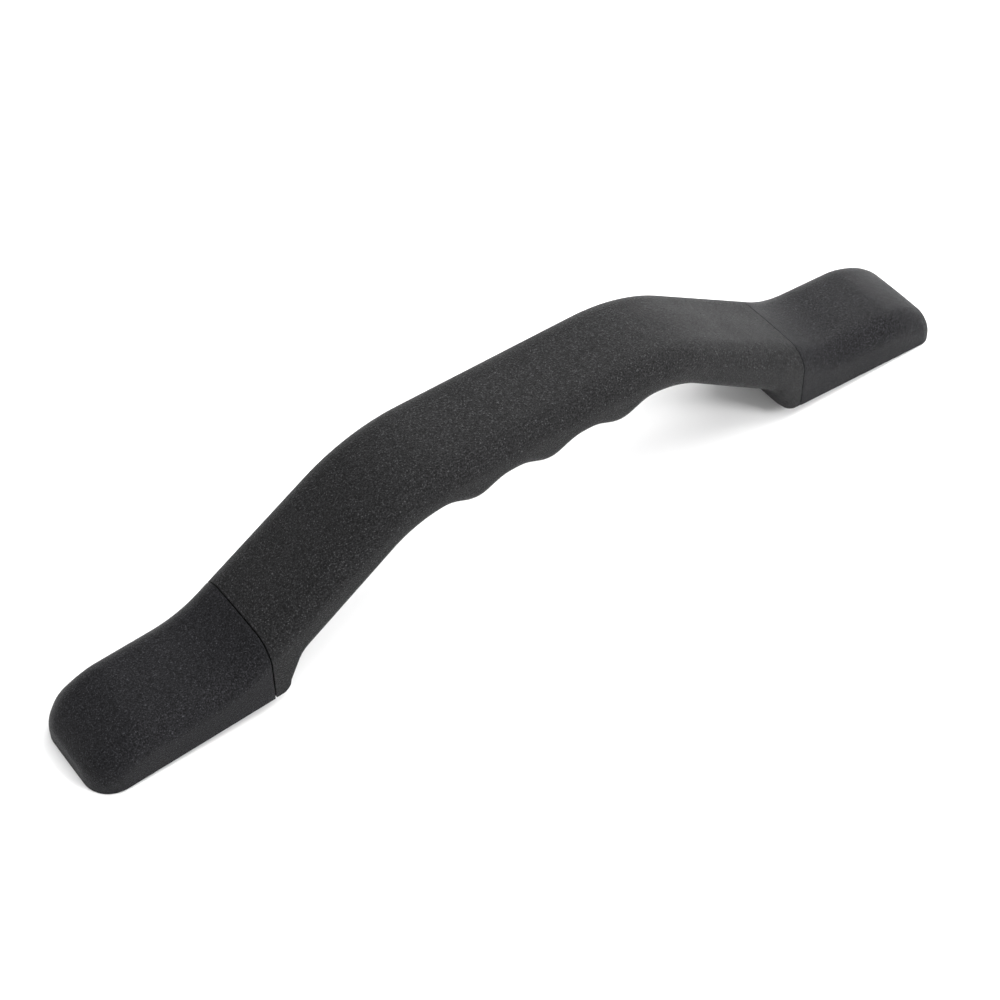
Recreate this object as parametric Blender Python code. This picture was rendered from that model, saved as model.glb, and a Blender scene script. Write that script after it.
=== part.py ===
"""A car door grab handle: a moulded grip over a bent steel strap, and a lift-off cap over each foot.

X runs along the handle, Y across it and Z away from the panel it is bolted to. Sizes are in millimetres
and become metres when a mesh is made. The two halves are mirror images across x = 0,
but for the roundness of the caps' corners.
"""

import math

import bmesh
import bpy
from mathutils import Matrix, Vector

MM = 0.001

# ---- overall size ----
LENGTH = 280.0
WIDTH = 32.0
HALF = LENGTH / 2
TILT = 3.7             # degrees that each foot slopes down towards its end
RIM_GAP = 0.4          # grip foot and cap rim stand this far above the panel
PIECE_GAP = 0.3        # clearance between neighbouring pieces

# ---- side profile, heights above the rim line where it starts at FOOT_START ----
FOOT_START = 82.9
TOP_SPAN = 43.5        # corner between the level top and the arm
TOP_HEIGHT = 47.2
TOP_RADIUS = 54.5
TOE_START = 98.0       # corner between the arm and the cap's top
TOE_HEIGHT = 13.0
TOE_RADIUS = 31.0
UNDER_SPAN = 41.8      # corner between the level underside and the arm's underside
UNDER_HEIGHT = 34.1
UNDER_RADIUS = 31.2
ARM_START = 58.0       # both arm faces are straight from about here
HEEL_START = 78.9      # corner between the arm's underside and the foot's inner face
HEEL_HEIGHT = 8.6
HEEL_RADIUS = 9.8

# ---- finger bumps under the grip ----
BUMP_PITCH = 23.25
BUMP_DEPTH = 3.0
BUMP_SHARPNESS = 3.0   # power of the cosine that shapes each bump
BUMP_REACH = 1.5       # the bumps stop this many pitches from the middle

# ---- cross section ----
TOP_ROUND = 6.9
UNDER_ROUND = 5.0
CROWN = 0.4
FOOT_BLEND = 4.0       # length over which the foot strip's lower edge turns square
SQUARE_EDGE = 0.3

# ---- caps ----
SEAM = 88.0
CAP_WALL = 2.0
LEFT_CORNER = 8.3      # the left cap is rounder in plan than the right one
RIGHT_CORNER = 5.3
END_DROP = 17.0        # length over which a cap's top curves down to its end
END_HEIGHT = 1.0       # end wall's top above the level of the rim line's start
END_POWER = 1.6        # 2 would make the top's fall a quarter ellipse; less leaves the end less steep

# ---- foot stack, along each foot's own normal from the panel ----
BOLT_X = 112.0
PAD_TOP = 1.0
TAB_BASE = PAD_TOP + PIECE_GAP
STRAP_THICK = 3.0
STRAP_WIDTH = 18.0
TAB_TOP = TAB_BASE + STRAP_THICK
PLATE_BASE = TAB_TOP + PIECE_GAP
PLATE_TOP = 6.2
SADDLE_TOP = 10.2

BOLT_BORE = 3.3
BUSH_WALL = 1.5
FLANGE_RADIUS = 7.0
FLANGE_BASE = PLATE_TOP + PIECE_GAP
FLANGE_TOP = FLANGE_BASE + 0.8

# ---- strap inside the grip ----
STRAP_HEIGHT = 40.3    # centre line of the level part
STRAP_ARM_X = 78.9     # a point on the centre line of the sloping part
STRAP_ARM_Z = 13.9
STRAP_SLOPE = 0.655
STRAP_BEND = 26.0
TAB_BEND = 10.0
TAB_END = 14.5         # strap's end beyond the bolt
CHANNEL_SPARE = 8.0    # the grip's channel is cut this far past the seam

# ---- carrier, screws and clips, placed from the bolt ----
CARRIER_OUT = 22.5
CARRIER_HALF = 13.2
CARRIER_WALL = 1.8
CARRIER_CORNER = 6.0
PAD_CORNER = 7.0
INNER_CORNER = 1.5     # corner radius of carrier and pad at their grip ends
RIB_HALF = 11.2        # a rib runs along each side of the carrier's plate, out to this y
RIB_WIDTH = 1.2
RIB_OUT = 15.0
RIB_TOP = 7.6
DRILL_TOP = 12.0       # holes through the carrier are cut up to here
SADDLE_IN = -18.5
SADDLE_OUT = -9.5
PAD_IN = -22.3
PAD_OUT = 24.5
SCREW_X = 10.2
SCREW_Y = 4.9
SCREW_HOLE = 1.8
INNER_CLIP = -14.5
OUTER_CLIP = 18.4
BLADE_HALF = 0.7
BLADE_WIDTH = 7.0
CLIP_WIDTH = 5.0
CLIP_THICK = 0.5
CLIP_BOW = 0.3
CLIP_HEIGHT = 4.6
INNER_TIP = SADDLE_TOP - 1.4    # lower edges of the blades, above the panel
OUTER_TIP = PLATE_BASE

SHARP_EDGE = 35.0      # degrees between faces above which an edge is shaded sharp

SINE = math.sin(math.radians(TILT))
COSINE = math.cos(math.radians(TILT))
TAN = math.tan(math.radians(TILT))

# height of the panel plane under the bolt, so that the pads' outer edges are the lowest points
BOLT_Z = PAD_OUT * SINE
# height of the rim line's start in the finished part
RIM_Z = BOLT_Z + TAN * (BOLT_X - FOOT_START) + RIM_GAP

# the right foot's axes in metres
FOOT_PLACE = (
    Matrix.Translation((BOLT_X * MM, 0, BOLT_Z * MM)) @ Matrix.Rotation(math.radians(TILT), 4, "Y")
)


def material(name, colour, metallic, roughness):
    mat = bpy.data.materials.new(name)
    mat.use_nodes = True
    shader = mat.node_tree.nodes["Principled BSDF"]
    shader.inputs["Base Color"].default_value = (*colour, 1.0)
    shader.inputs["Metallic"].default_value = metallic
    shader.inputs["Roughness"].default_value = roughness
    mat.diffuse_color = (*colour, 1.0)
    return mat


def solid(name, mat, parent, *shapes):
    """One named object from shapes in millimetres, each a function and its sizes."""
    bm = bmesh.new()
    for add, *sizes in shapes:
        add(bm, *sizes)
    bmesh.ops.recalc_face_normals(bm, faces=bm.faces)
    bmesh.ops.scale(bm, vec=(MM, MM, MM), verts=bm.verts)
    mesh = bpy.data.meshes.new(name)
    bm.to_mesh(mesh)
    bm.free()
    mesh.shade_smooth()
    mesh.set_sharp_from_angle(angle=math.radians(SHARP_EDGE))
    if mat is not None:
        mesh.materials.append(mat)
    obj = bpy.data.objects.new(name, mesh)
    bpy.context.scene.collection.objects.link(obj)
    obj.parent = parent
    return obj


def combine(obj, operation, *shapes, axes=None):
    """Cuts shapes out of obj or joins them to it, with a hidden tool in the axes given or else obj's own."""
    tool = solid(obj.name + "_" + operation.lower(), None, axes or obj.parent, *shapes)
    tool.hide_render = True
    tool.display_type = "WIRE"
    mod = obj.modifiers.new(operation.title(), "BOOLEAN")
    mod.operation = operation
    mod.solver = "EXACT"
    mod.object = tool


def add_loft(bm, rings):
    """A closed solid through rings of equal length."""
    loops = [[bm.verts.new(p) for p in ring] for ring in rings]
    for near, far in zip(loops, loops[1:]):
        for j, vert in enumerate(near):
            k = (j + 1) % len(near)
            bm.faces.new((vert, near[k], far[k], far[j]))
    bm.faces.new(loops[0])
    bm.faces.new(loops[-1])


def add_prism(bm, outline, low, high):
    """An (x, y) outline extruded between two heights."""
    face = bm.faces.new([bm.verts.new((x, y, low)) for x, y in outline])
    top = bmesh.ops.extrude_face_region(bm, geom=[face])["geom"]
    raised = [v for v in top if isinstance(v, bmesh.types.BMVert)]
    bmesh.ops.translate(bm, vec=(0, 0, high - low), verts=raised)


def add_box(bm, x0, x1, half_y, z0, z1):
    """A box between two x and two z, equally wide to both sides."""
    add_prism(bm, [(x0, -half_y), (x1, -half_y), (x1, half_y), (x0, half_y)], z0, z1)


def add_cylinder(bm, x, y, radius, z0, z1, sides):
    add_prism(bm, circle(x, y, radius, sides), z0, z1)


def add_lathe(bm, profile, sides):
    """A closed (radius, z) profile turned about z."""
    verts = [bm.verts.new((r, 0, z)) for r, z in profile]
    edges = [bm.edges.new(pair) for pair in zip(verts, verts[1:] + verts[:1])]
    bmesh.ops.spin(
        bm, geom=verts + edges, cent=(0, 0, 0), axis=(0, 0, 1), angle=math.tau, steps=sides, use_merge=True
    )


# ---- outlines ----

def arc(cx, cy, radius, start, end, steps):
    """Points on a circle from one angle to another, in degrees, both ends included."""
    angles = [math.radians(start + (end - start) * i / steps) for i in range(steps + 1)]
    return [(cx + radius * math.cos(a), cy + radius * math.sin(a)) for a in angles]


def rounded_chain(corners, steps=8):
    """A chain of (x, z, radius) corners as points, each inner corner rounded by an arc."""
    chain = [corners[0][:2]]
    for before, corner, after in zip(corners, corners[1:], corners[2:]):
        x, z, radius = corner
        to_before = math.atan2(before[1] - z, before[0] - x)
        to_after = math.atan2(after[1] - z, after[0] - x)
        turn = (to_after - to_before + math.pi) % math.tau - math.pi
        middle = to_before + turn / 2
        away = radius / math.sin(abs(turn) / 2)
        cx = x + away * math.cos(middle)
        cz = z + away * math.sin(middle)
        side = math.copysign(math.pi / 2, turn)
        start = to_before - side
        sweep = turn - math.copysign(math.pi, turn)
        for i in range(steps + 1):
            a = start + sweep * i / steps
            chain.append((cx + radius * math.cos(a), cz + radius * math.sin(a)))
    chain.append(corners[-1][:2])
    return chain


def height_at(chain, x):
    for (x0, z0), (x1, z1) in zip(chain, chain[1:]):
        if x0 <= x <= x1:
            return z0 + (z1 - z0) * (x - x0) / (x1 - x0)
    raise ValueError("outside the profile")


TOP_CHAIN = rounded_chain([
    (-TOP_SPAN, TOP_HEIGHT, 0),
    (TOP_SPAN, TOP_HEIGHT, TOP_RADIUS),
    (TOE_START, TOE_HEIGHT, TOE_RADIUS),
    (HALF, TOE_HEIGHT - TAN * (HALF - TOE_START), 0),
], 16)
UNDER_CHAIN = rounded_chain([
    (-UNDER_SPAN, UNDER_HEIGHT, 0),
    (UNDER_SPAN, UNDER_HEIGHT, UNDER_RADIUS),
    (HEEL_START, HEEL_HEIGHT, HEEL_RADIUS),
    (FOOT_START, 0, 0),
], 16)


def quarter(t, power=2.0):
    """Falls from 1 to 0 as t goes from 0 to 1, along a quarter circle unless another power is given."""
    t = min(max(t, 0.0), 1.0)
    return (1.0 - t ** power) ** (1.0 / power)


def rim_height(x):
    return RIM_Z - TAN * (x - FOOT_START)


def top_height(x, inset=0.0):
    """Height of the outer top at x, or of a cap's inside when inset is its wall."""
    level = height_at(TOP_CHAIN, x) - inset
    start = HALF - END_DROP
    end_height = END_HEIGHT - 0.6 * inset
    if x > start:
        fall = quarter((x - start) / (END_DROP - inset), END_POWER)
        level = end_height + (level - end_height) * fall
    return level + RIM_Z


def under_height(x):
    """Height of the grip's underside at x, bumps included."""
    if x >= FOOT_START:
        return rim_height(x)
    bump = 0.0
    if x < BUMP_REACH * BUMP_PITCH:
        bump = abs(math.cos(math.pi * x / BUMP_PITCH)) ** BUMP_SHARPNESS
    return height_at(UNDER_CHAIN, x) - BUMP_DEPTH * bump + RIM_Z


def half_width(x, corner, inset):
    """Half a cap's outer width at x, or half its inside when inset is its wall."""
    radius = corner - inset
    t = (x - (HALF - corner)) / radius
    return WIDTH / 2 - inset - radius * (1 - quarter(t))


def arch(half, low, high, radius, steps=4):
    """Section points from one lower side up over the rounded, slightly crowned top to the other side."""
    radius = min(radius, half - 0.5, (high - low) * 0.75)
    right = arc(half - radius, high - radius, radius, 0, 90, steps)
    flat = half - radius
    middle = [(flat * k, high) for k in (0.5, 0.0, -0.5)]
    left = arc(-(half - radius), high - radius, radius, 90, 180, steps)
    points = [(half, low)] + right + middle + left + [(-half, low)]
    lifted = []
    for y, z in points:
        share = min(max((z - high + radius) / radius, 0.0), 1.0)
        lifted.append((y, z + CROWN * share * (1 - (y / half) ** 2)))
    return lifted


def grip_section(x):
    """The grip's whole outline at x, its lower edges rounded along the arms and square at the foot."""
    half = WIDTH / 2
    low = under_height(x)
    high = top_height(x)
    into_foot = (x - FOOT_START) / FOOT_BLEND
    edge = UNDER_ROUND
    if into_foot > 0:
        edge = max(UNDER_ROUND * (1 - quarter(1 - into_foot)), SQUARE_EDGE)
    upper = arch(half, low, high, TOP_ROUND)[1:-1]
    left = arc(-(half - edge), low + edge, edge, 180, 270, 3)
    right = arc(half - edge, low + edge, edge, 270, 360, 3)
    return upper + left + right


def rectangle_section(half, low, high, corner):
    """A bar's section with chamfered corners, as eight points."""
    return [
        (half, high - corner), (half - corner, high), (corner - half, high), (-half, high - corner),
        (-half, low + corner), (corner - half, low), (half - corner, low), (half, low + corner),
    ]


def spread(start, end, count):
    return [start + (end - start) * i / count for i in range(count + 1)]


def mirrored(xs):
    """Stations from -max to +max for a list that starts at 0."""
    return [-x for x in reversed(xs[1:])] + xs


def foot_frame(side):
    """An empty on a foot's bolt axis at the panel: x outwards along the slope, z off the panel."""
    foot = bpy.data.objects.new("left_foot" if side < 0 else "right_foot", None)
    bpy.context.scene.collection.objects.link(foot)
    foot.matrix_world = Matrix.Rotation(0 if side > 0 else math.pi, 4, "Z") @ FOOT_PLACE
    return foot


def in_foot_axes(rings):
    """Rings given in millimetres along the part's axes, moved to the right foot's own axes."""
    turned = FOOT_PLACE.to_3x3().inverted()
    origin = Vector((BOLT_X, 0, BOLT_Z))
    return [[turned @ (Vector(p) - origin) for p in ring] for ring in rings]


# ---- strap ----

def strap_line():
    """Centre line of one half of the strap as (x, z) points from the middle to the tab's end."""
    arm_x = STRAP_ARM_X - (STRAP_HEIGHT - STRAP_ARM_Z) / STRAP_SLOPE
    tab_z = TAB_BASE + STRAP_THICK / 2
    start_x = BOLT_X + SINE * tab_z
    start_z = BOLT_Z + COSINE * tab_z - RIM_Z
    # where the arm's line meets the tab's line
    meet_x = (STRAP_ARM_Z + STRAP_SLOPE * STRAP_ARM_X - start_z - TAN * start_x) / (STRAP_SLOPE - TAN)
    meet_z = start_z - TAN * (meet_x - start_x)
    end_x = start_x + TAB_END * COSINE
    end_z = start_z - TAB_END * SINE
    chain = rounded_chain([
        (-arm_x, STRAP_HEIGHT, 0),
        (arm_x, STRAP_HEIGHT, STRAP_BEND),
        (meet_x, meet_z, TAB_BEND),
        (end_x, end_z, 0),
    ], 6)
    return [(0.0, STRAP_HEIGHT)] + chain[1:]


def strap_rings(clearance, reach):
    """Sections square to the strap's centre line, grown by a clearance, over the line's first points."""
    line = strap_line()
    both = [(-x, z) for x, z in reversed(line[1:])] + line
    rings = []
    for i, (x, z) in enumerate(both):
        before = both[max(i - 1, 0)]
        after = both[min(i + 1, len(both) - 1)]
        slope = math.atan2(after[1] - before[1], after[0] - before[0])
        thick = STRAP_THICK / 2 + clearance
        section = rectangle_section(STRAP_WIDTH / 2 + clearance, -thick, thick, 0.5)
        if abs(x) <= reach:
            ring = [(x - math.sin(slope) * t, y, z + math.cos(slope) * t + RIM_Z) for y, t in section]
            rings.append(ring)
    return rings


def plate_outline(x_in, x_out, half, corner_in, corner_out):
    """A foot-shaped outline, with its own corner radius at each end."""
    return (
        arc(x_out - corner_out, half - corner_out, corner_out, 0, 90, 6)[::-1]
        + arc(x_out - corner_out, corner_out - half, corner_out, -90, 0, 6)[::-1]
        + arc(x_in + corner_in, corner_in - half, corner_in, 180, 270, 2)[::-1]
        + arc(x_in + corner_in, half - corner_in, corner_in, 90, 180, 2)[::-1]
    )


def circle(cx, cy, radius, steps):
    return arc(cx, cy, radius, 0, 360, steps)[:-1]


# ---- pieces ----

def build_grip(mat):
    end = SEAM - PIECE_GAP / 2
    bumps_end = BUMP_REACH * BUMP_PITCH
    xs = spread(0, bumps_end, 13)
    xs += spread(bumps_end, ARM_START, 7)[1:]
    xs += spread(ARM_START, HEEL_START - 3, 3)[1:]
    xs += spread(HEEL_START - 3, FOOT_START, 6)[1:]
    xs += spread(FOOT_START, end, 5)[1:]
    rings = [[(x, y, z) for y, z in grip_section(abs(x))] for x in mirrored(xs)]
    grip = solid("grip", mat, None, (add_loft, rings))
    combine(grip, "DIFFERENCE", (add_loft, strap_rings(PIECE_GAP, SEAM + CHANNEL_SPARE)))


def build_strap(mat, feet):
    """The strap, with a bolt hole and two screw holes through the tab over each foot."""
    strap = solid("core_strap", mat, None, (add_loft, strap_rings(0.0, HALF)))
    holes = [(0.0, 0.0, BOLT_BORE + 0.2), (SCREW_X, SCREW_Y, SCREW_HOLE), (SCREW_X, -SCREW_Y, SCREW_HOLE)]
    drills = [(add_cylinder, x, y, radius, -2, PLATE_TOP, 24) for x, y, radius in holes]
    for foot in feet:
        combine(strap, "DIFFERENCE", *drills, axes=foot)


def cap_rings(corner, inset, start, end, low_spare):
    """Sections of a cap's outer form, or of the room inside it when inset is its wall."""
    begin = SEAM + PIECE_GAP / 2
    xs = spread(begin, HALF - END_DROP, 9) + spread(HALF - END_DROP, HALF - corner, 4)[1:]
    xs += [HALF - corner + corner * math.sin(math.radians(a)) for a in (18, 34, 48, 60, 70, 80, 90)]
    rings = []
    for station in xs:
        x = start + (station - begin) * (end - start) / (HALF - begin)
        low = rim_height(x) - low_spare
        section = arch(half_width(x, corner, inset), low, top_height(x, inset), TOP_ROUND - inset)
        rings.append([(x, y, z) for y, z in section])
    return in_foot_axes(rings)


def build_cap(name, foot, corner, mat):
    """A shell open to the panel and to the grip, with a blade under its roof for each clip."""
    begin = SEAM + PIECE_GAP / 2
    cap = solid(name, mat, foot, (add_loft, cap_rings(corner, 0, begin, HALF, 0)))
    hollow = cap_rings(corner, CAP_WALL, begin - 1, HALF - CAP_WALL, 1)
    combine(cap, "DIFFERENCE", (add_loft, hollow))
    blades = []
    for x, tip in ((INNER_CLIP, INNER_TIP), (OUTER_CLIP, OUTER_TIP)):
        roof = top_height(BOLT_X + x, CAP_WALL) - BOLT_Z + TAN * x
        blades.append((add_box, x - BLADE_HALF, x + BLADE_HALF, BLADE_WIDTH / 2, tip, roof + CAP_WALL / 2))
    combine(cap, "UNION", *blades)


def build_carrier(name, foot, mat):
    """A moulding over the strap's tab: a hollow tray, a saddle over the strap's bend, and its holes."""
    outline = plate_outline(SADDLE_IN, CARRIER_OUT, CARRIER_HALF, INNER_CORNER, CARRIER_CORNER)
    inside = plate_outline(
        SADDLE_IN - 5, CARRIER_OUT - CARRIER_WALL, CARRIER_HALF - CARRIER_WALL,
        INNER_CORNER, CARRIER_CORNER - CARRIER_WALL,
    )
    carrier = solid(name, mat, foot, (add_prism, outline, TAB_BASE, PLATE_TOP))
    saddle = (add_box, SADDLE_IN + 0.5, SADDLE_OUT, CARRIER_HALF - 1, TAB_BASE + 0.5, SADDLE_TOP)
    combine(carrier, "UNION", saddle)
    ribs = []
    for y in (RIB_WIDTH - RIB_HALF, RIB_HALF):
        low_y = y - RIB_WIDTH
        rib = [(SADDLE_OUT - 1, low_y), (RIB_OUT, low_y), (RIB_OUT, y), (SADDLE_OUT - 1, y)]
        ribs.append((add_prism, rib, PLATE_TOP - 0.5, RIB_TOP))
    combine(carrier, "UNION", *ribs)
    combine(carrier, "DIFFERENCE", (add_prism, inside, 0, PLATE_BASE))
    tunnel = (add_box, SADDLE_IN - 5, SADDLE_OUT - 1.6, STRAP_WIDTH / 2 + PIECE_GAP, 0, SADDLE_TOP - 2)
    combine(carrier, "DIFFERENCE", tunnel)
    holes = [(add_cylinder, 0, 0, BOLT_BORE + BUSH_WALL + PIECE_GAP, 0, DRILL_TOP, 32)]
    holes += [(add_cylinder, SCREW_X, y, SCREW_HOLE + 0.1, 0, DRILL_TOP, 16) for y in (SCREW_Y, -SCREW_Y)]
    slot = BLADE_HALF + CLIP_THICK + CLIP_BOW + 2 * PIECE_GAP
    for x in (INNER_CLIP, OUTER_CLIP):
        holes.append((add_box, x - slot, x + slot, BLADE_WIDTH / 2 + PIECE_GAP, 0, DRILL_TOP))
    combine(carrier, "DIFFERENCE", *holes)


def build_pad(name, foot, mat):
    outline = plate_outline(PAD_IN, PAD_OUT, CARRIER_HALF, INNER_CORNER, PAD_CORNER)
    pad = solid(name, mat, foot, (add_prism, outline, 0, PAD_TOP))
    combine(pad, "DIFFERENCE", (add_cylinder, 0, 0, BOLT_BORE + 0.7, -1, 2, 32))


def build_bush(name, foot, mat):
    tube = BOLT_BORE + BUSH_WALL
    base = PLATE_BASE - 0.1
    profile = [
        (BOLT_BORE, base), (tube, base), (tube, FLANGE_BASE),
        (FLANGE_RADIUS, FLANGE_BASE), (FLANGE_RADIUS, FLANGE_TOP), (BOLT_BORE, FLANGE_TOP),
    ]
    solid(name, mat, foot, (add_lathe, profile, 32))


def build_screw(name, foot, y, mat):
    """A pan-head screw with a hexagonal socket, from its tip up to its head."""
    seat = PLATE_TOP + PIECE_GAP
    sizes = [
        (0.9, TAB_BASE), (1.4, TAB_BASE + 0.5), (1.4, seat), (2.8, seat),
        (2.8, seat + 0.7), (2.3, seat + 1.4), (1.5, seat + 1.7),
    ]
    rings = [[(px, py, z) for px, py in circle(SCREW_X, y, r, 18)] for r, z in sizes]
    screw = solid(name, mat, foot, (add_loft, rings))
    combine(screw, "DIFFERENCE", (add_cylinder, SCREW_X, y, 1.05, seat + 0.5, seat + 3, 6))


def build_clip(name, foot, x, tip, mat):
    """A bent spring strip that wraps the lower edge of a cap's blade, its legs bowed outwards."""
    leg = BLADE_HALF + PIECE_GAP + CLIP_THICK / 2
    base = tip - PIECE_GAP - CLIP_THICK / 2
    steps = 6
    shares = [i / steps for i in range(steps + 1)]
    rise = [(CLIP_BOW * math.sin(math.pi * share), CLIP_HEIGHT * share) for share in shares]
    path = [(-leg - bow, base + up) for bow, up in reversed(rise)]
    path += [(leg + bow, base + up) for bow, up in rise]
    outside = []
    inside = []
    for i, (px, pz) in enumerate(path):
        ax, az = path[max(i - 1, 0)]
        bx, bz = path[min(i + 1, len(path) - 1)]
        size = math.hypot(bx - ax, bz - az)
        step_x = (bz - az) / size * CLIP_THICK / 2
        step_z = (bx - ax) / size * CLIP_THICK / 2
        outside.append((px - step_x, pz + step_z))
        inside.append((px + step_x, pz - step_z))
    outline = outside + inside[::-1]
    rings = [[(x + px, y, pz) for px, pz in outline] for y in (-CLIP_WIDTH / 2, CLIP_WIDTH / 2)]
    solid(name, mat, foot, (add_loft, rings))


def main():
    for obj in list(bpy.data.objects):
        bpy.data.objects.remove(obj)
    vinyl = material("grip_vinyl", (0.028, 0.028, 0.03), 0.0, 0.62)
    plastic = material("cap_plastic", (0.024, 0.024, 0.026), 0.0, 0.5)
    nylon = material("carrier_nylon", (0.06, 0.06, 0.062), 0.0, 0.55)
    foam = material("pad_rubber", (0.018, 0.018, 0.018), 0.0, 0.85)
    steel = material("strap_steel", (0.42, 0.42, 0.43), 0.9, 0.42)
    zinc = material("bush_steel", (0.6, 0.6, 0.58), 1.0, 0.3)
    spring = material("clip_steel", (0.34, 0.33, 0.31), 1.0, 0.35)
    feet = {side: foot_frame(side) for side in (-1, 1)}
    build_grip(vinyl)
    build_strap(steel, feet.values())
    for side, foot in feet.items():
        word = "left" if side < 0 else "right"
        build_pad(word + "_pad", foot, foam)
        build_carrier(word + "_carrier", foot, nylon)
        build_bush(word + "_bush", foot, zinc)
        build_screw(word + "_screw_near", foot, -SCREW_Y * side, zinc)
        build_screw(word + "_screw_far", foot, SCREW_Y * side, zinc)
        build_cap(word + "_cap", foot, LEFT_CORNER if side < 0 else RIGHT_CORNER, plastic)
        build_clip(word + "_clip_inner", foot, INNER_CLIP, INNER_TIP, spring)
        build_clip(word + "_clip_outer", foot, OUTER_CLIP, OUTER_TIP, spring)


main()
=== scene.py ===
"""The looks of a car door grab handle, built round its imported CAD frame.

The grip and the two end caps are rebuilt here as fine meshes from the same few dimensions as the CAD
solids. The small hardware under the caps keeps its CAD meshes, with new materials and softened edges.
Lengths are in millimetres, made into metres when a mesh is finished.
"""
import math

import bmesh
import bpy
from mathutils import Matrix, Vector


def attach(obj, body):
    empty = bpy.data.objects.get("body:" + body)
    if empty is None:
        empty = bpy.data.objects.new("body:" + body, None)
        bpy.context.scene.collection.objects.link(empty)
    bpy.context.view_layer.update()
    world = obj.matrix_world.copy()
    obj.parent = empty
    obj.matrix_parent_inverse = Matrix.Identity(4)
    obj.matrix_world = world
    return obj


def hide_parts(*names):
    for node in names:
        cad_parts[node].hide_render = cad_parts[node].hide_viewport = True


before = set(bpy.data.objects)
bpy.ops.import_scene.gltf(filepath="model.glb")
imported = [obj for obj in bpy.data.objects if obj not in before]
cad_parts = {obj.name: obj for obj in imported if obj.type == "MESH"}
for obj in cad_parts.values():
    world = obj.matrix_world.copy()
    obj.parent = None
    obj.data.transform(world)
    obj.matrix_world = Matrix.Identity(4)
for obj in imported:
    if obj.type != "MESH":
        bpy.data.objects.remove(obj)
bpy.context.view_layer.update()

MM = 0.001

# ---- the handle's form, as in the CAD part ----
LENGTH = 280.0
WIDTH = 32.0
HALF = LENGTH / 2
TILT = 3.7
RIM_GAP = 0.4
PIECE_GAP = 0.3
FOOT_START = 82.9
TOP_SPAN = 43.5
TOP_HEIGHT = 47.2
TOP_RADIUS = 54.5
TOE_START = 98.0
TOE_HEIGHT = 13.0
TOE_RADIUS = 31.0
UNDER_SPAN = 41.8
UNDER_HEIGHT = 34.1
UNDER_RADIUS = 31.2
HEEL_START = 78.9
HEEL_HEIGHT = 8.6
HEEL_RADIUS = 9.8
BUMP_PITCH = 23.25
BUMP_DEPTH = 3.0
BUMP_SHARPNESS = 3.0
BUMP_REACH = 1.5
TOP_ROUND = 6.9
UNDER_ROUND = 5.0
CROWN = 0.4
FOOT_BLEND = 4.0
SQUARE_EDGE = 0.3
SEAM = 88.0
CAP_WALL = 2.0
LEFT_CORNER = 8.3
RIGHT_CORNER = 5.3
END_DROP = 17.0
END_HEIGHT = 1.0
END_POWER = 1.6
END_INSET_SHARE = 0.6    # how much of a wall's thickness lowers the inner roof at the very end
SIDE_FLAT = 0.5          # least flat half-width an arch keeps between its rounded edges
ROUND_SHARE = 0.75       # an arch's edge radius is at most this share of its height
BOLT_X = 112.0
PAD_OUT = 24.5
STRAP_THICK = 3.0
STRAP_WIDTH = 18.0
STRAP_ARM_X = 78.9
STRAP_ARM_Z = 13.9
STRAP_SLOPE = 0.655
SADDLE_TOP = 10.2
PLATE_BASE = 4.6
INNER_CLIP = -14.5
OUTER_CLIP = 18.4
BLADE_HALF = 0.7
BLADE_WIDTH = 7.0
TIP_DEPTH = 1.4          # how far the inner blade reaches below the saddle's top
MOUTH_PAST = 1.0         # how far the strap's mouth is cut past the seam
INNER_TIP = SADDLE_TOP - TIP_DEPTH
OUTER_TIP = PLATE_BASE

# ---- fineness of the rebuilt meshes ----
STATION_STEP = 1.0
CHAIN_STEPS = 40
ARC_STEPS = 12
LOW_ARC_STEPS = 8
CROWN_STEPS = 3
END_STEPS = 16
GRIP_EDGE = 0.12         # rounding of the grip's edge at the seam
CAP_EDGE = 0.32          # rounding of the cap's edge at the seam
LEFT_SEAM_GAP = 0.28     # the left cap stands this far off the grip, the right one closer
RIGHT_SEAM_GAP = 0.1
EDGE_STEPS = 5
SHARP_EDGE = 40.0        # degrees; flatter edges are shaded smooth and are not softened
SOFTEN_STEPS = 2

TAN = math.tan(math.radians(TILT))
BOLT_Z = PAD_OUT * math.sin(math.radians(TILT))
RIM_Z = BOLT_Z + TAN * (BOLT_X - FOOT_START) + RIM_GAP


# ---- profiles ----

def arc(cx, cy, radius, start, end, steps):
    """Points along an arc between two angles in degrees."""
    angles = [math.radians(start + (end - start) * i / steps) for i in range(steps + 1)]
    return [(cx + radius * math.cos(a), cy + radius * math.sin(a)) for a in angles]


def rounded_chain(corners, steps):
    """A chain of (x, z, radius) corners as points, each inner corner rounded by an arc."""
    chain = [corners[0][:2]]
    for before, corner, after in zip(corners, corners[1:], corners[2:]):
        x, z, radius = corner
        to_before = math.atan2(before[1] - z, before[0] - x)
        to_after = math.atan2(after[1] - z, after[0] - x)
        turn = (to_after - to_before + math.pi) % math.tau - math.pi
        middle = to_before + turn / 2
        away = radius / math.sin(abs(turn) / 2)
        cx = x + away * math.cos(middle)
        cz = z + away * math.sin(middle)
        start = to_before - math.copysign(math.pi / 2, turn)
        sweep = turn - math.copysign(math.pi, turn)
        for i in range(steps + 1):
            a = start + sweep * i / steps
            chain.append((cx + radius * math.cos(a), cz + radius * math.sin(a)))
    chain.append(corners[-1][:2])
    return chain


def height_at(chain, x):
    """A chain's height at x, straight between its points."""
    for (x0, z0), (x1, z1) in zip(chain, chain[1:]):
        if x0 <= x <= x1:
            return z0 + (z1 - z0) * (x - x0) / (x1 - x0)
    raise ValueError("outside the profile")


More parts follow.
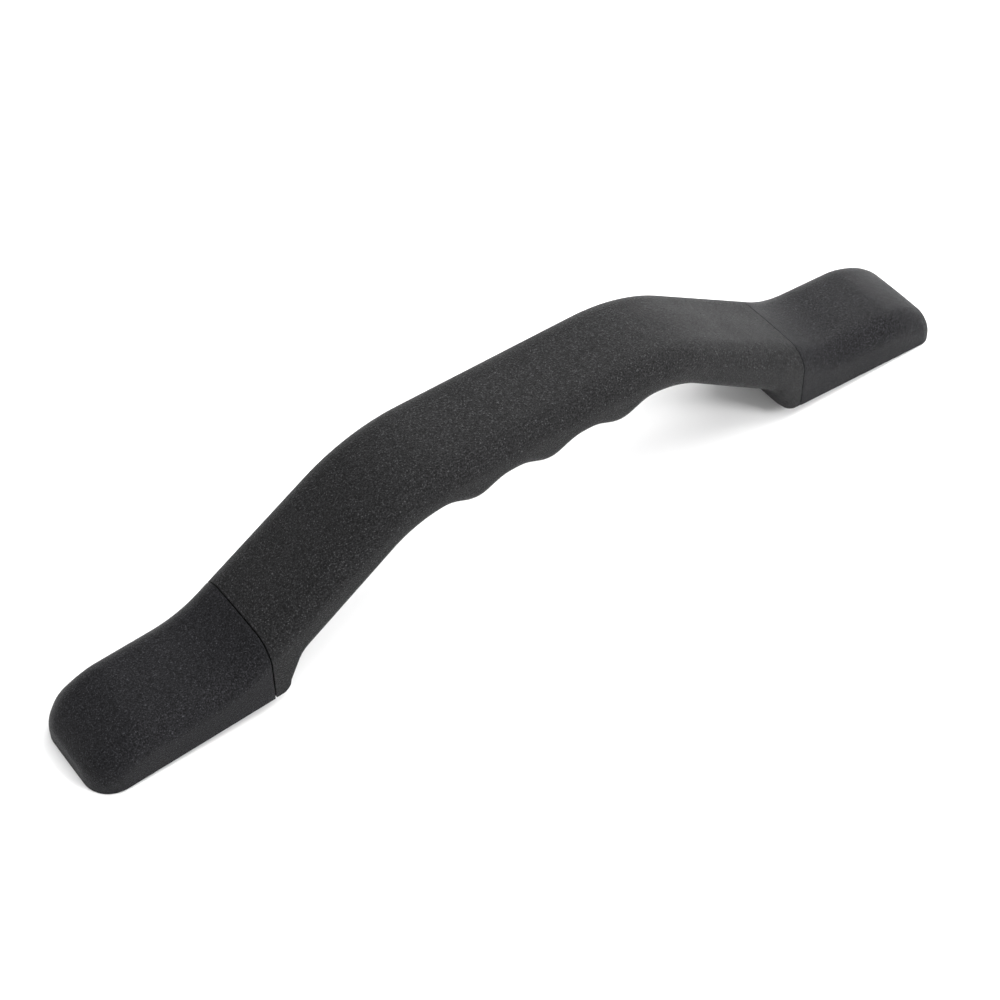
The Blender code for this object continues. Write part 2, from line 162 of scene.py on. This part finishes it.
TOP_CHAIN = rounded_chain([
    (-TOP_SPAN, TOP_HEIGHT, 0),
    (TOP_SPAN, TOP_HEIGHT, TOP_RADIUS),
    (TOE_START, TOE_HEIGHT, TOE_RADIUS),
    (HALF, TOE_HEIGHT - TAN * (HALF - TOE_START), 0),
], CHAIN_STEPS)
UNDER_CHAIN = rounded_chain([
    (-UNDER_SPAN, UNDER_HEIGHT, 0),
    (UNDER_SPAN, UNDER_HEIGHT, UNDER_RADIUS),
    (HEEL_START, HEEL_HEIGHT, HEEL_RADIUS),
    (FOOT_START, 0, 0),
], CHAIN_STEPS)


def quarter(t, power=2.0):
    """Falls from 1 to 0 as t goes from 0 to 1, along a quarter circle unless another power is given."""
    t = min(max(t, 0.0), 1.0)
    return (1.0 - t ** power) ** (1.0 / power)


def rim_height(x):
    """The lower rim of a foot, which falls towards the end by the foot's tilt."""
    return RIM_Z - TAN * (x - FOOT_START)


def top_height(x, inset=0.0):
    """The top's height at x, curving down over the end of a cap."""
    level = height_at(TOP_CHAIN, x) - inset
    start = HALF - END_DROP
    end_height = END_HEIGHT - END_INSET_SHARE * inset
    if x > start:
        fall = quarter((x - start) / (END_DROP - inset), END_POWER)
        level = end_height + (level - end_height) * fall
    return level + RIM_Z


def under_height(x):
    """The underside's height at x, with a finger bump at each pitch in the middle."""
    if x >= FOOT_START:
        return rim_height(x)
    bump = 0.0
    if x < BUMP_REACH * BUMP_PITCH:
        bump = abs(math.cos(math.pi * x / BUMP_PITCH)) ** BUMP_SHARPNESS
    return height_at(UNDER_CHAIN, x) - BUMP_DEPTH * bump + RIM_Z


def half_width(x, corner, inset):
    """Half a cap's width at x, drawn in round the plan corner at its end."""
    radius = corner - inset
    t = (x - (HALF - corner)) / radius
    return WIDTH / 2 - inset - radius * (1 - quarter(t))


def arch(half, low, high, radius):
    """Section points from one lower side up over the rounded, slightly crowned top to the other side."""
    radius = min(radius, half - SIDE_FLAT, (high - low) * ROUND_SHARE)
    flat = half - radius
    right = arc(flat, high - radius, radius, 0, 90, ARC_STEPS)
    middle = [(flat * k / CROWN_STEPS, high) for k in range(CROWN_STEPS - 1, -CROWN_STEPS, -1)]
    left = arc(-flat, high - radius, radius, 90, 180, ARC_STEPS)
    lifted = []
    for y, z in right + middle + left:
        share = min(max((z - high + radius) / radius, 0.0), 1.0)
        lifted.append((y, z + CROWN * share * (1 - (y / half) ** 2)))
    return [(half, low)] + lifted + [(-half, low)]


def grip_section(x, inset=0.0):
    """One closed section of the grip as (y, z) points; its lower edges turn square in the foot."""
    half = WIDTH / 2 - inset
    low = under_height(x) + inset
    high = top_height(x) - inset
    into_foot = (x - FOOT_START) / FOOT_BLEND
    edge = UNDER_ROUND
    if into_foot > 0:
        edge = max(UNDER_ROUND * (1 - quarter(1 - into_foot)), SQUARE_EDGE)
    upper = arch(half, low, high, TOP_ROUND - inset)[1:-1]
    left = arc(-(half - edge), low + edge, edge, 180, 270, LOW_ARC_STEPS)
    right = arc(half - edge, low + edge, edge, 270, 360, LOW_ARC_STEPS)
    return upper + left + right


def spread(start, end, step):
    """Even places from start to end, about a step apart."""
    count = max(1, round((end - start) / step))
    return [start + (end - start) * i / count for i in range(count + 1)]


def edge_rounding(radius):
    """(how far back from the edge, how far in) along a quarter round, ending on the edge's own plane."""
    turns = [math.radians(90 * i / EDGE_STEPS) for i in range(EDGE_STEPS + 1)]
    return [(radius * (1 - math.sin(a)), radius * (1 - math.cos(a))) for a in turns]


# ---- meshes ----

def mesh_object(name, bm):
    """Turns a bmesh in millimetres into a smooth-shaded object in metres."""
    bmesh.ops.recalc_face_normals(bm, faces=bm.faces)
    bmesh.ops.scale(bm, vec=(MM, MM, MM), verts=bm.verts)
    mesh = bpy.data.meshes.new(name)
    bm.to_mesh(mesh)
    bm.free()
    mesh.shade_smooth()
    mesh.set_sharp_from_angle(angle=math.radians(SHARP_EDGE))
    obj = bpy.data.objects.new(name, mesh)
    bpy.context.scene.collection.objects.link(obj)
    return obj


def finish_piece(name, bm, body, slot, *replaced):
    """Makes a piece that rides on a body and stands for its CAD node."""
    obj = mesh_object(name, bm)
    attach(obj, body)
    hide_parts(*replaced)
    return obj


def add_loft(bm, rings):
    """Joins equal rings of points into a closed skin with a face over each end."""
    loops = [[bm.verts.new(p) for p in ring] for ring in rings]
    for near, far in zip(loops, loops[1:]):
        for j, vert in enumerate(near):
            k = (j + 1) % len(near)
            bm.faces.new((vert, near[k], far[k], far[j]))
    bm.faces.new(loops[0])
    bm.faces.new(loops[-1])


def apply_cut(obj, tool, operation):
    """Applies one exact Boolean and removes the tool."""
    mod = obj.modifiers.new(operation.title(), "BOOLEAN")
    mod.operation = operation
    mod.solver = "EXACT"
    mod.object = tool
    bpy.context.view_layer.update()
    graph = bpy.context.evaluated_depsgraph_get()
    result = bpy.data.meshes.new_from_object(obj.evaluated_get(graph))
    obj.modifiers.clear()
    obj.data = result
    bpy.data.objects.remove(tool)


def build_grip():
    """The whole grip, with its seam edges rounded and a mouth at each end where the strap comes out."""
    end = SEAM - PIECE_GAP / 2
    xs = spread(0, FOOT_START, STATION_STEP)[:-1]
    xs += spread(FOOT_START, end - GRIP_EDGE, STATION_STEP / 2)
    stations = [(x, 0.0) for x in xs]
    stations += [(end - back, inset) for back, inset in edge_rounding(GRIP_EDGE)[1:]]
    right = [[(x, y, z) for y, z in grip_section(x, inset)] for x, inset in stations]
    left = [[(-x, y, z) for x, y, z in ring] for ring in reversed(right[1:])]
    bm = bmesh.new()
    add_loft(bm, left + right)
    grip = finish_piece("grip_skin", bm, "handle", "grip_vinyl", "grip")
    for side in (-1, 1):
        apply_cut(grip, strap_mouth(side), "DIFFERENCE")
    return grip


def strap_mouth(side):
    """A slanted block where the strap leaves the grip."""
    half = STRAP_WIDTH / 2 + PIECE_GAP
    rise = (STRAP_THICK / 2 + PIECE_GAP) * math.hypot(1, STRAP_SLOPE)
    outline = [(half, rise), (-half, rise), (-half, -rise), (half, -rise)]
    rings = []
    for x in (STRAP_ARM_X, SEAM + MOUTH_PAST):
        z = STRAP_ARM_Z - STRAP_SLOPE * (x - STRAP_ARM_X) + RIM_Z
        rings.append([(side * x, y, z + up) for y, up in outline])
    bm = bmesh.new()
    add_loft(bm, rings)
    return mesh_object("mouth", bm)


def cap_shell(bm, side):
    """Outer and inner arches from the seam to the end, joined round the rim."""
    begin = SEAM - PIECE_GAP / 2 + (LEFT_SEAM_GAP if side < 0 else RIGHT_SEAM_GAP)
    stations = [(begin + back, inset) for back, inset in edge_rounding(CAP_EDGE)[::-1]]
    corner = LEFT_CORNER if side < 0 else RIGHT_CORNER
    stations += [(x, 0.0) for x in spread(begin + CAP_EDGE, HALF - corner, STATION_STEP)[1:]]
    turns = [math.radians(90 * i / END_STEPS) for i in range(1, END_STEPS + 1)]
    stations += [(HALF - corner + corner * math.sin(a), 0.0) for a in turns]
    outer = []
    inner = []
    span = HALF - begin
    for x, inset in stations:
        half = half_width(x, corner, 0.0) - inset
        ring = arch(half, rim_height(x), top_height(x) - inset, TOP_ROUND - inset)
        outer.append([bm.verts.new((side * x, y, z)) for y, z in ring])
        x_in = begin + (x - begin) * (span - CAP_WALL) / span
        room = half_width(x_in, corner, CAP_WALL)
        ring = arch(room, rim_height(x_in), top_height(x_in, CAP_WALL), TOP_ROUND - CAP_WALL)
        inner.append([bm.verts.new((side * x_in, y, z)) for y, z in ring])
    last = len(outer[0]) - 1
    for i in range(len(outer) - 1):
        for j in range(last):
            bm.faces.new((outer[i][j], outer[i][j + 1], outer[i + 1][j + 1], outer[i + 1][j]))
            bm.faces.new((inner[i][j], inner[i][j + 1], inner[i + 1][j + 1], inner[i + 1][j]))
        for j in (0, last):
            bm.faces.new((outer[i][j], outer[i + 1][j], inner[i + 1][j], inner[i][j]))
    for j in range(last):
        bm.faces.new((outer[0][j], outer[0][j + 1], inner[0][j + 1], inner[0][j]))
    bm.faces.new(outer[-1])
    bm.faces.new(inner[-1])
    bm.faces.new((outer[-1][0], outer[-1][last], inner[-1][last], inner[-1][0]))


def blade(side, x, tip):
    """A blade under the cap's roof, square to the foot, for one spring clip to hold."""
    facing = Matrix.Rotation(0 if side > 0 else math.pi, 4, "Z")
    slope = Matrix.Rotation(math.radians(TILT), 4, "Y")
    foot = facing @ Matrix.Translation((BOLT_X, 0, BOLT_Z)) @ slope
    top = top_height(BOLT_X + x, CAP_WALL) - BOLT_Z + TAN * x + CAP_WALL / 2
    half = BLADE_WIDTH / 2
    outline = [(-BLADE_HALF, -half), (BLADE_HALF, -half), (BLADE_HALF, half), (-BLADE_HALF, half)]
    bm = bmesh.new()
    add_loft(bm, [[foot @ Vector((x + along, y, z)) for along, y in outline] for z in (tip, top)])
    return mesh_object("blade", bm)


def build_cap(side, word):
    """One end cap: its shell, with the two blades grown out of its roof."""
    bm = bmesh.new()
    cap_shell(bm, side)
    cap = finish_piece(word + "_cap_skin", bm, word + "_cover", "cap_plastic", word + "_cap")
    for x, tip in ((INNER_CLIP, INNER_TIP), (OUTER_CLIP, OUTER_TIP)):
        apply_cut(cap, blade(side, x, tip), "UNION")
    return cap


# ---- materials: noise scales are per metre, depths in millimetres ----
WEAR_SCALE = 60.0
CLOUD_SCALE = 220.0
DUST_SCALE = 90.0
CELL_SCALE = 1400.0
STREAK_DEPTH = 0.03
CELL_DEPTH = 0.15


def new_material(name):
    """A node material with its nodes, its links and its shader."""
    mat = bpy.data.materials.new(name)
    mat.use_nodes = True
    return mat, mat.node_tree.nodes, mat.node_tree.links, mat.node_tree.nodes["Principled BSDF"]


def noise(nodes, links, scale, detail, coords, roughness=0.5):
    """A noise texture's grey value, read at the given coordinates."""
    node = nodes.new("ShaderNodeTexNoise")
    node.inputs["Scale"].default_value = scale
    node.inputs["Detail"].default_value = detail
    node.inputs["Roughness"].default_value = roughness
    links.new(coords, node.inputs["Vector"])
    return node.outputs["Fac"]


def ramp(nodes, links, source, stops):
    """A colour ramp over (position, colour) stops; a bare number is a grey."""
    node = nodes.new("ShaderNodeValToRGB")
    elements = node.color_ramp.elements
    while len(elements) < len(stops):
        elements.new(0.5)
    for element, (position, colour) in zip(elements, stops):
        element.position = position
        if not isinstance(colour, tuple):
            colour = (colour, colour, colour)
        element.color = (*colour, 1.0)
    links.new(source, node.inputs["Fac"])
    return node.outputs["Color"]


def bump(nodes, links, height, strength, distance, normal=None):
    """A normal bent by a height, on top of another normal if one is given."""
    node = nodes.new("ShaderNodeBump")
    node.inputs["Strength"].default_value = strength
    node.inputs["Distance"].default_value = distance
    links.new(height, node.inputs["Height"])
    if normal is not None:
        links.new(normal, node.inputs["Normal"])
    return node.outputs["Normal"]


def moulded_plastic(name, dark, light, speck_and_glint, grain, depth, rough_low, rough_high, specular):
    """Moulded plastic: a spark-eroded grain of fine pits, its colour painted lighter on the grain's high
    spots and in a few bright specks; partly the grain's own tone, partly painted glints.
    """
    mat, nodes, links, shader = new_material(name)
    coords = nodes.new("ShaderNodeTexCoord").outputs["Object"]
    fine = noise(nodes, links, 1.0 / (grain * MM), 3.0, coords, 0.7)
    broad = noise(nodes, links, WEAR_SCALE, 3.0, coords)
    patchy = noise(nodes, links, 1.0 / (4 * grain * MM), 2.0, coords)
    # painted glints: the noise that raises the grain's bump also lightens its colour, so high spots and
    # specks are painted as if catching light
    colour = ramp(nodes, links, fine, [(0.4, dark), (0.6, light), (0.72, speck_and_glint)])
    links.new(colour, shader.inputs["Base Color"])
    links.new(ramp(nodes, links, broad, [(0.3, rough_low), (0.7, rough_high)]), shader.inputs["Roughness"])
    waves = bump(nodes, links, patchy, 1.0, 0.5 * depth * MM)
    links.new(bump(nodes, links, fine, 1.0, depth * MM, waves), shader.inputs["Normal"])
    shader.inputs["Specular IOR Level"].default_value = specular
    return mat


def stretched(nodes, links, coords, scale):
    """Coordinates squeezed along some axes, so that noise read from them turns into streaks."""
    node = nodes.new("ShaderNodeMapping")
    node.inputs["Scale"].default_value = scale
    links.new(coords, node.inputs["Vector"])
    return node.outputs["Vector"]


def plated_steel(name, dark, light, rough_low, rough_high, streak_scale):
    """Bare or plated steel: streaks from rolling or turning, cloudy plating and dull handling marks."""
    mat, nodes, links, shader = new_material(name)
    coords = nodes.new("ShaderNodeTexCoord").outputs["Object"]
    streaks = noise(nodes, links, 1.0, 4.0, stretched(nodes, links, coords, streak_scale), 0.6)
    clouds = noise(nodes, links, CLOUD_SCALE, 4.0, coords, 0.6)
    links.new(ramp(nodes, links, clouds, [(0.32, dark), (0.66, light)]), shader.inputs["Base Color"])
    mixed = nodes.new("ShaderNodeMath")
    mixed.operation = "MULTIPLY_ADD"
    links.new(streaks, mixed.inputs[0])
    mixed.inputs[1].default_value = rough_high - rough_low
    links.new(ramp(nodes, links, clouds, [(0.3, rough_high), (0.7, rough_low)]), mixed.inputs[2])
    links.new(mixed.outputs["Value"], shader.inputs["Roughness"])
    links.new(bump(nodes, links, streaks, 0.6, STREAK_DEPTH * MM), shader.inputs["Normal"])
    shader.inputs["Metallic"].default_value = 1.0
    return mat


def foam_rubber(name, dark, light):
    """Closed-cell rubber sheet: small open pores on a dull, slightly dusty skin."""
    mat, nodes, links, shader = new_material(name)
    coords = nodes.new("ShaderNodeTexCoord").outputs["Object"]
    cells = nodes.new("ShaderNodeTexVoronoi")
    cells.inputs["Scale"].default_value = CELL_SCALE
    links.new(coords, cells.inputs["Vector"])
    dust = noise(nodes, links, DUST_SCALE, 4.0, coords, 0.6)
    links.new(ramp(nodes, links, dust, [(0.35, dark), (0.7, light)]), shader.inputs["Base Color"])
    links.new(ramp(nodes, links, dust, [(0.3, 0.8), (0.7, 0.95)]), shader.inputs["Roughness"])
    links.new(bump(nodes, links, cells.outputs["Distance"], 0.8, CELL_DEPTH * MM), shader.inputs["Normal"])
    shader.inputs["Specular IOR Level"].default_value = 0.25
    return mat


def paint(obj, mat):
    """Gives an object one material in every slot it has, or in a first slot of its own."""
    if not obj.material_slots:
        obj.data.materials.append(mat)
    for slot in obj.material_slots:
        slot.material = mat


def soften(obj, width):
    """Rounds the sharp edges of a CAD mesh with a small bevel, in millimetres."""
    mod = obj.modifiers.new("Edges", "BEVEL")
    mod.width = width * MM
    mod.segments = SOFTEN_STEPS
    mod.limit_method = "ANGLE"
    mod.angle_limit = math.radians(SHARP_EDGE)
    mod.use_clamp_overlap = True


def dress_hardware():
    """Materials and softened edges for everything that keeps its CAD mesh."""
    strap = plated_steel(
        "strap_plated", (0.16, 0.16, 0.165), (0.34, 0.34, 0.34),
        rough_low=0.3, rough_high=0.46, streak_scale=(60, 2600, 2600)
    )
    zinc = plated_steel(
        "zinc_plated", (0.3, 0.3, 0.28), (0.5, 0.5, 0.47),
        rough_low=0.2, rough_high=0.36, streak_scale=(900, 900, 5200)
    )
    spring = plated_steel(
        "spring_steel", (0.2, 0.19, 0.18), (0.34, 0.32, 0.3),
        rough_low=0.28, rough_high=0.42, streak_scale=(500, 4200, 500)
    )
    nylon = moulded_plastic(
        "carrier_grain", (0.02, 0.02, 0.021), (0.05, 0.05, 0.052), (0.12, 0.12, 0.12),
        grain=0.3, depth=0.03, rough_low=0.42, rough_high=0.58, specular=0.4
    )
    foam = foam_rubber("pad_foam", (0.012, 0.012, 0.012), (0.03, 0.029, 0.028))
    finishes = {    # a word in the node's name: its material and how far its edges are softened
        "core_strap": (strap, 0.3),
        "carrier": (nylon, 0.25),
        "pad": (foam, 0.2),
        "bush": (zinc, 0.12),
        "screw": (zinc, 0.1),
        "clip": (spring, 0.08),
    }
    for name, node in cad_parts.items():
        for word, (mat, width) in finishes.items():
            if word in name:
                paint(node, mat)
                soften(node, width)


# ---- stage: in metres ----
FLOOR_SIZE = 6.0
FLOOR_GREY = 0.9
LIGHT_TARGET = (0, 0, 0.02)
LIGHT_DISTANCE = 1.6
WORLD_STRENGTH = 0.86


def direction(azimuth, elevation):
    """The unit vector towards a place given by its angles in degrees, from the front."""
    a = math.radians(azimuth)
    e = math.radians(elevation)
    return Vector((math.sin(a) * math.cos(e), -math.cos(a) * math.cos(e), math.sin(e)))


def build_floor():
    """A plain pale floor under the handle."""
    bpy.ops.mesh.primitive_plane_add(size=FLOOR_SIZE, location=(0, 0, 0))
    floor = bpy.context.active_object
    floor.name = "floor"
    mat, _, _, shader = new_material("floor_pale")
    shader.inputs["Base Color"].default_value = (FLOOR_GREY, FLOOR_GREY, FLOOR_GREY, 1)
    shader.inputs["Roughness"].default_value = 0.9
    shader.inputs["Specular IOR Level"].default_value = 0.1
    paint(floor, mat)


def area_light(name, azimuth, elevation, size, power):
    """A square soft light aimed at the handle from a direction given in degrees."""
    back = direction(azimuth, elevation)
    data = bpy.data.lights.new(name, "AREA")
    data.size = size
    data.energy = power
    light = bpy.data.objects.new(name, data)
    light.location = Vector(LIGHT_TARGET) + back * LIGHT_DISTANCE
    light.rotation_euler = (-back).to_track_quat("-Z", "Y").to_euler()
    bpy.context.scene.collection.objects.link(light)


def build_light():
    """An even white surround and four soft lights."""
    world = bpy.data.worlds.new("studio")
    bpy.context.scene.world = world
    world.use_nodes = True
    background = world.node_tree.nodes["Background"]
    background.inputs["Color"].default_value = (1, 1, 1, 1)
    background.inputs["Strength"].default_value = WORLD_STRENGTH
    area_light("key", azimuth=78, elevation=50, size=1.0, power=13)
    area_light("back", azimuth=126, elevation=24, size=1.0, power=13.5)
    area_light("top", azimuth=0, elevation=88, size=1.6, power=14)
    area_light("front", azimuth=28, elevation=34, size=0.45, power=17)


# ---- camera: degrees and millimetres ----
CAMERA_AZIMUTH = -35.28
CAMERA_ELEVATION = 47.76
CAMERA_ROLL = -0.91
CAMERA_DISTANCE = 649.8
CAMERA_LENS = 85.57
CAMERA_RIGHT = -4.8
CAMERA_UP = 2.1


def build_camera():
    """A camera on the handle's middle, moved a little sideways and up in its own view."""
    back = direction(CAMERA_AZIMUTH, CAMERA_ELEVATION)
    right = (-back).cross(Vector((0, 0, 1))).normalized()
    up = right.cross(-back)
    axes = Matrix((right, up, back)).transposed() @ Matrix.Rotation(math.radians(CAMERA_ROLL), 3, "Z")
    data = bpy.data.cameras.new("camera")
    data.lens = CAMERA_LENS
    camera = bpy.data.objects.new("camera", data)
    place = back * CAMERA_DISTANCE + axes.col[0] * CAMERA_RIGHT + axes.col[1] * CAMERA_UP
    place += Vector((0, 0, RIM_Z))
    camera.matrix_world = Matrix.Translation(place * MM) @ axes.to_4x4()
    bpy.context.scene.collection.objects.link(camera)
    bpy.context.scene.camera = camera


build_camera()
grip = build_grip()
caps = [build_cap(-1, "left"), build_cap(1, "right")]
grip_material = moulded_plastic(
    "grip_grain", (0.0008, 0.0008, 0.0009), (0.018, 0.018, 0.019), (0.08, 0.08, 0.083),
    grain=0.42, depth=0.3, rough_low=0.52, rough_high=0.62, specular=0.12
)
cap_material = moulded_plastic(
    "cap_grain", (0.0008, 0.0008, 0.0012), (0.0145, 0.0145, 0.0165), (0.055, 0.055, 0.061),
    grain=0.4, depth=0.2, rough_low=0.46, rough_high=0.55, specular=0.09
)
paint(grip, grip_material)
for cap in caps:
    paint(cap, cap_material)
dress_hardware()
build_floor()
build_light()
bpy.context.scene.view_settings.view_transform = "Standard"
